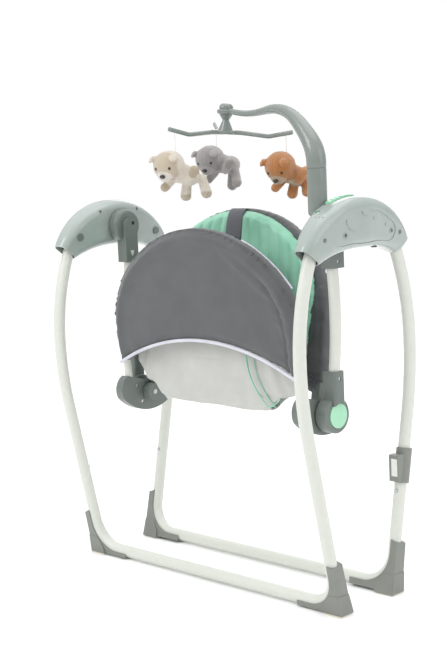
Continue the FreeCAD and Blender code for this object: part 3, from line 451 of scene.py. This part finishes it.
bm = bmesh.new()
foot = bm.verts.new(mm(-cover_foot, 0, cover_side_z))
spring = bm.verts.new(mm(-cover_half, 0, cover_spring))
bm.edges.new((foot, spring))
right = arch(bm, spring, cover_half, cover_spring, cover_top, cover_crown)
last = bm.verts.new(mm(cover_foot, 0, cover_side_z))
bm.edges.new((right, last))
sweep_rise = cover_low_z - cover_side_z
sweep_r = (cover_foot ** 2 + sweep_rise ** 2) / (2 * sweep_rise)
sweep_angle = math.degrees(math.asin(cover_foot / sweep_r))
arc_points(bm, last, mm(0, 0, cover_low_z - sweep_r), -2 * sweep_angle, 24)
slab(bm, -15, 11, lean_front)
leg_cover = piece("leg_rest_cover", bm, "grey_fabric", None)
remesh(leg_cover, 5.0)


def inside_rim(p, half, spring_z, top, crown_r):
    """How far a point is inside the rim of an arch, in mm."""
    if p.z < spring_z:
        return half - abs(p.x)
    drop = spring_z - (top - crown_r)
    side_r = side_radius(half, drop, crown_r)
    across, up = abs(p.x), p.z - (top - crown_r)
    if math.atan2(up, across) > math.atan2(drop, half - side_r):
        return crown_r - math.hypot(across, up)
    return side_r - math.hypot(across - (half - side_r), p.z - spring_z)


def lower_edge(x):
    return cover_low_z - sweep_r + math.sqrt(max(0, sweep_r ** 2 - x * x))


def shape_leg_cover(p, n):
    q = flat_front(p)
    rim = inside_rim(q, cover_half, cover_spring, cover_top, cover_crown)
    if n.y > -0.3:
        return 0.5 * ripple(q, 40, 7)
    right = step(70, 190, q.x) * (1 - step(590, 680, q.z))
    push = -4.5 * (1 - step(0, 22, rim))               # rounds over onto the tube
    push += 1.8 * math.exp(-((rim - 17) / 8) ** 2)     # the tube under the fabric
    push -= 2.4 * right * math.exp(-((rim - 32) / 2.6) ** 2)          # side seam
    push -= 0.8 * (1 - right) * math.exp(-((rim - 42) / 14) ** 2)     # slack beside the tube
    pull = math.sin(q.z / 4.6 + 0.25 * q.x / 4.6 + 4 * ripple(q, 30))
    push += 1.1 * pull * right * math.exp(-((rim - 34) / 13) ** 2)    # gathers on the seam
    crease = q.z - 668 + 0.75 * (q.x - 90)
    push += 2.2 * math.exp(-(crease / 9) ** 2) * step(60, 120, q.x) * (1 - step(170, 215, q.x))
    push += 2.6 * ripple(q, 120, 3) + 0.6 * ripple(q, 40, 5)
    push -= 1.0 * math.exp(-((q.z - lower_edge(q.x) - 12) / 2.6) ** 2)   # hem stitches
    return push


puff(leg_cover, 4.0, 3.0)
finer(leg_cover)
sculpt(leg_cover, shape_leg_cover)
settle(leg_cover, "leg_rest", ["front_cover"])

lower = [lean_front(x, -17, lower_edge(x) - 1) for x in [-250 + 500 * i / 16 for i in range(17)]]
tube("leg_rest_lower_piping", [p / 1000 for p in lower], 7.0, "piping_fabric", "leg_rest")
rim_line = []
for i in range(17):
    a = math.radians(68 - 29 * i / 16)
    across = min(cover_half - 3, (cover_crown - 3) * math.cos(a))
    rim_line.append(lean_front(across, 11.5, cover_top - cover_crown
                               + (cover_crown - 4) * math.sin(a)))
tube("leg_rest_rim_piping", [p / 1000 for p in rim_line], 5.0, "piping_fabric", "leg_rest")


# ---- backrest -------------------------------------------------------------------
hub_y, hub_z, back_lean = -4.0, 358.0, math.radians(9.0)
back_half, back_spring, back_top, back_crown_r = 242.0, 165.0, 395.0, 292.0


def lean_back(x, d, h):
    """From heights along the backrest, d behind its front face, to its place."""
    c, s = math.cos(back_lean), math.sin(back_lean)
    return Vector((x, hub_y + d * c + h * s, hub_z - d * s + h * c))


def flat_back(p):
    c, s = math.cos(back_lean), math.sin(back_lean)
    y, z = p.y - hub_y, p.z - hub_z
    return Vector((p.x, y * c - z * s, y * s + z * c))


def back_prism(half, foot_h, top, crown_r, near, far):
    bm = bmesh.new()
    low = bm.verts.new(mm(-half, 0, foot_h))
    start = bm.verts.new(mm(-half, 0, back_spring))
    bm.edges.new((low, start))
    over = arch(bm, start, half, back_spring, top, crown_r)
    end = bm.verts.new(mm(half, 0, foot_h))
    bm.edges.new((over, end))
    bm.edges.new((end, low))
    slab(bm, near, far, lean_back)
    return bm


back_cover = piece("backrest_shell_cover", back_prism(back_half, 58, back_top, back_crown_r, 2, 33),
                   "grey_fabric", None)
remesh(back_cover, 6.0)
puff(back_cover, 5.0)


def shape_back_cover(p, n):
    q = flat_back(p)
    low = 1 - step(66, 104, q.z)
    corner = low * step(170, 222, abs(q.x))
    gather = math.sin(abs(q.x) / 2.9 + q.z / 9 + 5 * ripple(q, 22))
    gather += 0.6 * math.sin(q.z / 4.1 + 5 * ripple(q, 17, 5))
    push = 1.8 * gather * corner + 1.6 * abs(n.x)     # elastic in the bottom corners
    edge = step(150, 220, q.x) * (1 - step(260, 330, q.z))
    push += 1.6 * math.sin(q.z / 11 + 3 * ripple(q, 60, 8)) * edge * (1 - low)
    push += 2.0 * ripple(q, 70, 2)
    return push


finer(back_cover)
sculpt(back_cover, shape_back_cover)
settle(back_cover, "backrest", ["backrest_cover"])

# Gathered elastic at the bottom corners of the backrest, which pulls the cover round its tube.
for name, side, depth in (("left", -1, 20), ("right", 1, 13)):
    bm = bmesh.new()
    made = bmesh.ops.create_icosphere(bm, subdivisions=5, radius=1.0)
    place = Matrix.Translation(lean_back(side * 219, depth, 62) / 1000)
    bmesh.ops.transform(bm, verts=made["verts"],
                        matrix=place @ Matrix.Diagonal((0.020, 0.017, 0.027, 1)))
    corner = piece(f"elastic_corner_{name}", bm, "elastic_fabric", None)
    sculpt(corner, lambda p, n: 1.5 * math.sin(p.z / 1.5 + 0.8 * p.x / 1.5 * side + 6 * ripple(p, 14))
           * (1 - n.z * n.z) + 2.0 * ripple(p, 13, 3))
    settle(corner, "backrest")

pad_half, pad_top, pad_crown = 236.0, 389.0, 286.0
seat_pad = piece("quilted_seat_pad", back_prism(pad_half, 50, pad_top, pad_crown, -14, 1),
                 "mint_fabric", None)
remesh(seat_pad, 4.5)
puff(seat_pad, 4.0)
channel_pitch = 26.0


def narrow_foot(made):
    """The pad draws in below the shoulders, where the grey side bolsters come forward."""
    for v in made.data.vertices:
        q = flat_back(v.co * 1000)
        v.co.x *= 0.875 + 0.125 * step(130, 300, q.z)


def shape_seat_pad(p, n):
    q = flat_back(p)
    rim = inside_rim(q, pad_half, back_spring, pad_top, pad_crown)
    if n.y > 0.2:
        return 0.0
    x = q.x - 4 + 7 * ripple(q, 90, 4) + 0.07 * (q.z - 200) * math.copysign(1, q.x)
    quilt = abs(math.sin(math.pi * x / channel_pitch)) ** 0.6
    push = (5.4 * quilt - 4.0) * step(3, 22, rim)
    push += 2.6 * ripple(Vector((q.x, 0, q.z / 4.5)), 12, 1) * step(4, 30, rim)
    push += 1.2 * ripple(q, 45, 6)
    return push - 3.0 * (1 - step(0, 12, rim))


narrow_foot(seat_pad)
finer(seat_pad)
sculpt(seat_pad, shape_seat_pad)
settle(seat_pad, "backrest", ["backrest_pad"])


# ---- webbing strap at the head -----------------------------------------------------
def ribbon(name, path, width, thick, material, body, stands_for=()):
    """Flat webbing along a path of (x, d, h) on the backrest."""
    bm = bmesh.new()
    row = [bm.verts.new(lean_back(path[0][0] + s * width / 2, path[0][1], path[0][2]) / 1000)
           for s in (-1, -0.5, 0, 0.5, 1)]
    edges = [bm.edges.new(pair) for pair in zip(row, row[1:])]
    for before, after in zip(path, path[1:]):
        made = bmesh.ops.extrude_edge_only(bm, edges=edges)
        verts = [g for g in made["geom"] if isinstance(g, bmesh.types.BMVert)]
        move = (lean_back(*after) - lean_back(*before)) / 1000
        bmesh.ops.translate(bm, verts=verts, vec=move)
        edges = [g for g in made["geom"] if isinstance(g, bmesh.types.BMEdge)
                 and g.verts[0] in verts and g.verts[1] in verts]
    made = piece(name, bm, material, None)
    modify(made, "SOLIDIFY", thickness=thick / 1000, offset=0)
    modify(made, "SUBSURF", levels=2, render_levels=2)
    settle(made, body, stands_for)
    return made


strap_x = 4.0
strap_path = [(strap_x, d, h) for d, h in
              ((3, 384), (0, 391), (-7, 393), (-14, 387), (-18.5, 374), (-21, 352), (-21, 332),
               (-20, 320), (-22.5, 313), (-21.5, 290), (-21, 262), (-20, 236))]
ribbon("shoulder_strap", strap_path, 44, 2.4, "strap_fabric", "backrest",
       ["head_strap"])
for k, h in enumerate((334, 318, 300)):
    seam = [(strap_x, d, h + up) for d, up in ((-22.6, 0.8), (-23.0, 0), (-22.6, -0.8))]
    ribbon(f"strap_seam_{k}", seam, 45, 1.2, "strap_fabric", "backrest")


# ---- sling under the seat ------------------------------------------------------------
sling_front, sling_rear = -41.5, -9.5
sling_turn_z, sling_turn_drop = 366.0, 13.0      # where the cloth turns under, and by how much
left_edge = [(350, 152), (385, 178), (396, 200), (431, 225), (500, 228)]
right_edge = [(350, 146), (362, 153), (384, 181), (392, 214), (404, 232), (500, 236)]


def along(table, z):
    """Straight-line reading of a short table of (height, half width)."""
    for (z0, w0), (z1, w1) in zip(table, table[1:]):
        if z <= z1:
            return w0 + (w1 - w0) * min(1, max(0, (z - z0) / (z1 - z0)))
    return table[-1][1]


bm = bmesh.new()
bmesh.ops.create_grid(bm, x_segments=170, y_segments=84, size=1.0)
front_len, turn_len, rear_len = 130.0, 36.0, 30.0
for v in bm.verts:
    u, t = v.co.x, (v.co.y + 1) / 2
    s = t * (front_len + turn_len + rear_len)
    if s < front_len:
        y, z = sling_front, sling_turn_z + (front_len - s)
    elif s < front_len + turn_len:
        a = math.pi * (s - front_len) / turn_len
        y = (sling_front + sling_rear) / 2 - (sling_rear - sling_front) / 2 * math.cos(a)
        z = sling_turn_z - sling_turn_drop * math.sin(a)
    else:
        y, z = sling_rear, sling_turn_z + (s - front_len - turn_len)
    x = u * along(right_edge if u > 0 else left_edge, z)
    v.co = mm(x, y, z + 6 * abs(u) ** 6 * (1 - step(sling_turn_z, 400, z)))
sling = piece("seat_sling_cloth", bm, "white_fabric", None)


def fold(z):
    """Where the bound edge of the corner flap runs across the front."""
    return 96 + 50 * (max(0, 468 - z) / 98) ** 2.2


def shape_sling(p, n):
    push = 1.8 * ripple(p, 60, 9) + 0.5 * ripple(p, 22, 4)
    if p.y > -30:
        return push
    f = p.x - fold(p.z)               # distance past the bound edge
    push += 2.4 * math.exp(-((f - 7) / 5) ** 2) - 2.6 * math.exp(-((f - 20) / 4) ** 2)
    push += 2.0 * math.sin(f / 7.5) * step(18, 30, f) * (1 - step(70, 100, f))
    push += 1.6 * step(0, 3, f) * (1 - step(5, 8, f))
    push -= 1.6 * math.exp(-((p.x + 196 - (466 - p.z) * 0.15) / 2.6) ** 2)   # upright seam
    push += 1.5 * math.sin(p.x / 6.5 + 2 * ripple(p, 40)) * (1 - step(-190, -150, p.x))
    push -= 0.8 * math.exp(-((p.z - 452) / 1.8) ** 2) * (1 - step(20, 50, abs(p.x + 20)))
    return push


sculpt(sling, shape_sling)
modify(sling, "SOLIDIFY", thickness=0.0025, offset=-1)
settle(sling, "seat", ["seat_sling"])
for name, shift, width in (("outer", 0, 3.2), ("inner", 19, 2.0)):
    binding = [mm(fold(z) + shift, sling_front - 3.0 + shift * 0.06, z)
               for z in (470, 455, 440, 425, 410, 396, 384, 374, 367)]
    tube(f"sling_{name}_binding", binding, width, "mint_fabric", "seat")
corner = [mm(x, sling_front - 2, z) for x, z in ((151, 366), (166, 370), (182, 386))]
tube("sling_corner_binding", corner, 2.6, "mint_fabric", "seat")


# ---- soft toys ----------------------------------------------------------------------
def ball(bm, centre, radii, turn_matrix=None):
    made = bmesh.ops.create_icosphere(bm, subdivisions=3, radius=1.0)
    shape = Matrix.Diagonal((*[r / 1000 for r in radii], 1))
    if turn_matrix:
        shape = turn_matrix.to_4x4() @ shape
    bmesh.ops.transform(bm, verts=made["verts"], matrix=Matrix.Translation(mm(*centre)) @ shape)


def limb(bm, a, b, ra, rb):
    """A stuffed limb from a to b, fatter towards b."""
    a, b = Vector(a), Vector(b)
    for i in range(7):
        t = i / 6
        r = ra + (rb - ra) * t
        ball(bm, a.lerp(b, t), (r, r, r))


# Per bear: turn and nod of the head, and where the feet of the near and far legs end up.
bears = {"cream": (38, -22, (-70, 15, -56), (-39, -15, -60)),
         "grey": (55, -27, (-52, 13, -50), (-46, -12, -56)),
         "brown": (37, -38, (-50, 14, -52), (-31, -14, -55))}


def head_shape(bm):
    """Head about its own centre, x ahead: skull, muzzle and two flopped ears."""
    ball(bm, (0, 0, 0), (31, 31, 29.5))
    ball(bm, (15, 0, -10), (18, 19.5, 16))
    ball(bm, (22, 0, -13), (12.5, 14.5, 11))
    for at, lean_x, lean_y in (((17, 22, 22), -38, 20), ((11, -29, 19), 48, 10)):
        tilt = Matrix.Rotation(math.radians(lean_x), 3, "X")
        tilt = tilt @ Matrix.Rotation(math.radians(lean_y), 3, "Y")
        ball(bm, at, (9.0, 8.6, 4.2), tilt)
        ball(bm, (at[0] - 5, at[1] * 0.86, at[2] * 0.92), (7.0, 7.0, 4.0), tilt)


def make_toy(colour_name, heading, place, drop):
    knot = string_top(place) - Vector((0, 0, drop))
    head_turn, nod, near_foot, far_foot = bears[colour_name]
    a = math.radians(heading)
    axes = Matrix((Vector((math.cos(a), math.sin(a), 0)), Vector((-math.sin(a), math.cos(a), 0)),
                   Vector((0, 0, 1)))).transposed()
    turned = Matrix.Rotation(math.radians(head_turn), 3, "Z")
    turned = turned @ Matrix.Rotation(math.radians(-nod), 3, "Y")
    face = turned.inverted()
    # Body axes: x ahead, y to its left, z up, from the centre of the head.
    bm = bmesh.new()
    head_shape(bm)
    bmesh.ops.transform(bm, verts=bm.verts, matrix=turned.to_4x4())
    level_body = colour_name == "grey"
    ball(bm, (-25, 0, -10 if level_body else -16), (22, 22, 20))
    ball(bm, (-43, 0, -13 if level_body else -22), (20, 21.5, 19))
    limb(bm, (-29, 18, -24 if level_body else -30), (-38, 33, -6 if level_body else -12), 8.5, 10.5)
    limb(bm, (-12, -14, -28), (3, -20, -42), 7.5, 9)
    for side, foot in ((1, near_foot), (-1, far_foot)):
        limb(bm, (foot[0] * 0.75 - 12, side * 10, -28), foot, 9, 11)
    toy = piece("stuffed_bear_" + colour_name, bm, "plush_" + colour_name, None)
    remesh(toy, 1.9)
    modify(toy, "SMOOTH", factor=0.6, iterations=5)
    bake_modifiers(toy)
    sculpt(toy, lambda p, n: 0.6 * ripple(p, 3.4) + 0.4 * ripple(p, 1.6, 8)
           - 0.9 * math.exp(-((face @ p).y / 1.3) ** 2) * (1 if (face @ p).z > 8 else 0))
    for attribute in ("muzzle", "face", "paw", "mouth"):
        toy.data.attributes.new(attribute, "FLOAT", "POINT")
    near_foot, far_foot = Vector(near_foot), Vector(far_foot)
    for i, v in enumerate(toy.data.vertices):
        p = v.co * 1000
        h = face @ p
        edge = 0.8 * ripple(p, 3)
        # Masks fall off over 1 to 3 mm; step() runs downwards where its first bound is the larger.
        snout = step(17.0, 15.8, math.hypot(h.y, (h.z + 13) * 1.15) + edge) * step(11, 13, h.x)
        front = step(8, 11, h.x + 0.25 * h.z) * step(27, 25, abs(h.y)) * step(33, 31, h.length)
        sole = max(step(8.5, 6.5, (p - near_foot).length - 3.5) * step(-2, 2, near_foot.z + 3 - p.z),
                   step(8.5, 6.5, (p - far_foot).length - 3.5) * step(-2, 2, far_foot.z + 3 - p.z))
        palm = step(11, 8.5, (p - Vector((-36, 36, -14))).length - 3) * step(30, 33, p.y)
        far_palm = step(12, 10, (p - Vector((4, -19, -42))).length)
        belly = step(15, 13, (p - Vector((-24, 8, -34))).length) if colour_name == "brown" else 0
        mouth = step(3.2, 2.4, math.hypot(h.y - 12.5, (h.z + 20.5) * 1.6)) * step(14, 16, h.x)
        values = {"muzzle": max(snout, belly), "face": front, "paw": max(sole, palm, far_palm),
                  "mouth": mouth}
        for attribute, value in values.items():
            toy.data.attributes[attribute].data[i].value = min(1, max(0, value))
    head = knot + axes @ Vector((15, 0, -26))         # centre of the head from the string's knot
    turn_to = Matrix.Translation(head / 1000) @ axes.to_4x4()
    toy.data.transform(turn_to)
    finer(toy)
    settle(toy, "toy_" + colour_name, ["toy_" + colour_name])
    bm = bmesh.new()
    ball(bm, (34.2, 0, -8.5), (3.6, 6.0, 4.4))
    for s in (-1, 1):
        ball(bm, (26.0, s * 14.5, 4.5), (2.4, 2.9, 3.1))
    bmesh.ops.transform(bm, verts=bm.verts, matrix=turn_to @ turned.to_4x4())
    eyes = piece("sewn_face_" + colour_name, bm, "eye_plastic", None)
    settle(eyes, "toy_" + colour_name)


for colour_name, (heading, place, drop) in toy_places.items():
    make_toy(colour_name, heading, place, drop)


# ---- blank label on the clip-on holder, facing the front of the swing -----------------
looks["label_film"] = moulded("paper_label", "#D9DAD6", "#E2E3DF", 0.5, 2.0, 0.01)
clip = nodes["storage_clip"]
front = min((clip.matrix_world @ v.co for v in clip.data.vertices), key=lambda c: c.y).y
mid = sum((clip.matrix_world @ v.co for v in clip.data.vertices), Vector()) / len(clip.data.vertices)
bm = bmesh.new()
made = bmesh.ops.create_cube(bm, size=1.0)
bmesh.ops.transform(bm, verts=made["verts"], matrix=Matrix.Translation((mid.x, front - 0.0002, mid.z))
                    @ Matrix.Diagonal((0.014, 0.0003, 0.034, 1)))
piece("holder_label", bm, "label_film", "rear_frame", smooth=False)


# ---- floor, light ---------------------------------------------------------------------
bm = bmesh.new()
bmesh.ops.create_circle(bm, cap_ends=True, segments=96, radius=25.0)
looks["floor"] = moulded("pale_floor", "#FCFCFC", "#FEFEFE", 0.9, 40, 0.01)
ground = piece("floor", bm, "floor", None, smooth=False, recalc=False)
ground.location.z = -0.0002

world = bpy.data.worlds.new("studio")
scene.world = world
world.use_nodes = True
tree = world.node_tree
sky = tree.nodes["Background"]
sky.inputs["Color"].default_value = rgb("#FFFFFF")
# White backdrop for the lens; a tent that is brighter above than at its sides for the light.
away = add(tree, "ShaderNodeNewGeometry").outputs["Incoming"]
height = add(tree, "ShaderNodeSeparateXYZ", {"Vector": away}).outputs["Z"]
tent = add(tree, "ShaderNodeMapRange", {"Value": height, "From Min": 0.05, "From Max": -0.75,
                                        "To Min": 0.46, "To Max": 1.22})
seen = add(tree, "ShaderNodeLightPath").outputs["Is Camera Ray"]
level_of_light = add(tree, "ShaderNodeMix", {"Factor": seen, "A": tent.outputs["Result"], "B": 1.0})
tree.links.new(level_of_light.outputs["Result"], sky.inputs["Strength"])

for name, place, size, power in (("key", (-0.9, -2.6, 2.6), 1.6, 34),
                                 ("fill", (2.9, 0.6, 1.6), 1.8, 12),
                                 ("top", (0.2, 0.3, 3.0), 2.2, 18),
                                 ("back", (-1.5, 2.4, 1.8), 1.6, 10)):
    lamp = bpy.data.lights.new(name, "AREA")
    lamp.size = size
    lamp.energy = power
    holder = bpy.data.objects.new(name, lamp)
    holder.location = place
    holder.rotation_mode = "QUATERNION"
    holder.rotation_quaternion = (Vector((0, 0, 0.45)) - Vector(place)).to_track_quat("-Z", "Y")
    scene.collection.objects.link(holder)
scene.view_settings.view_transform = "Standard"
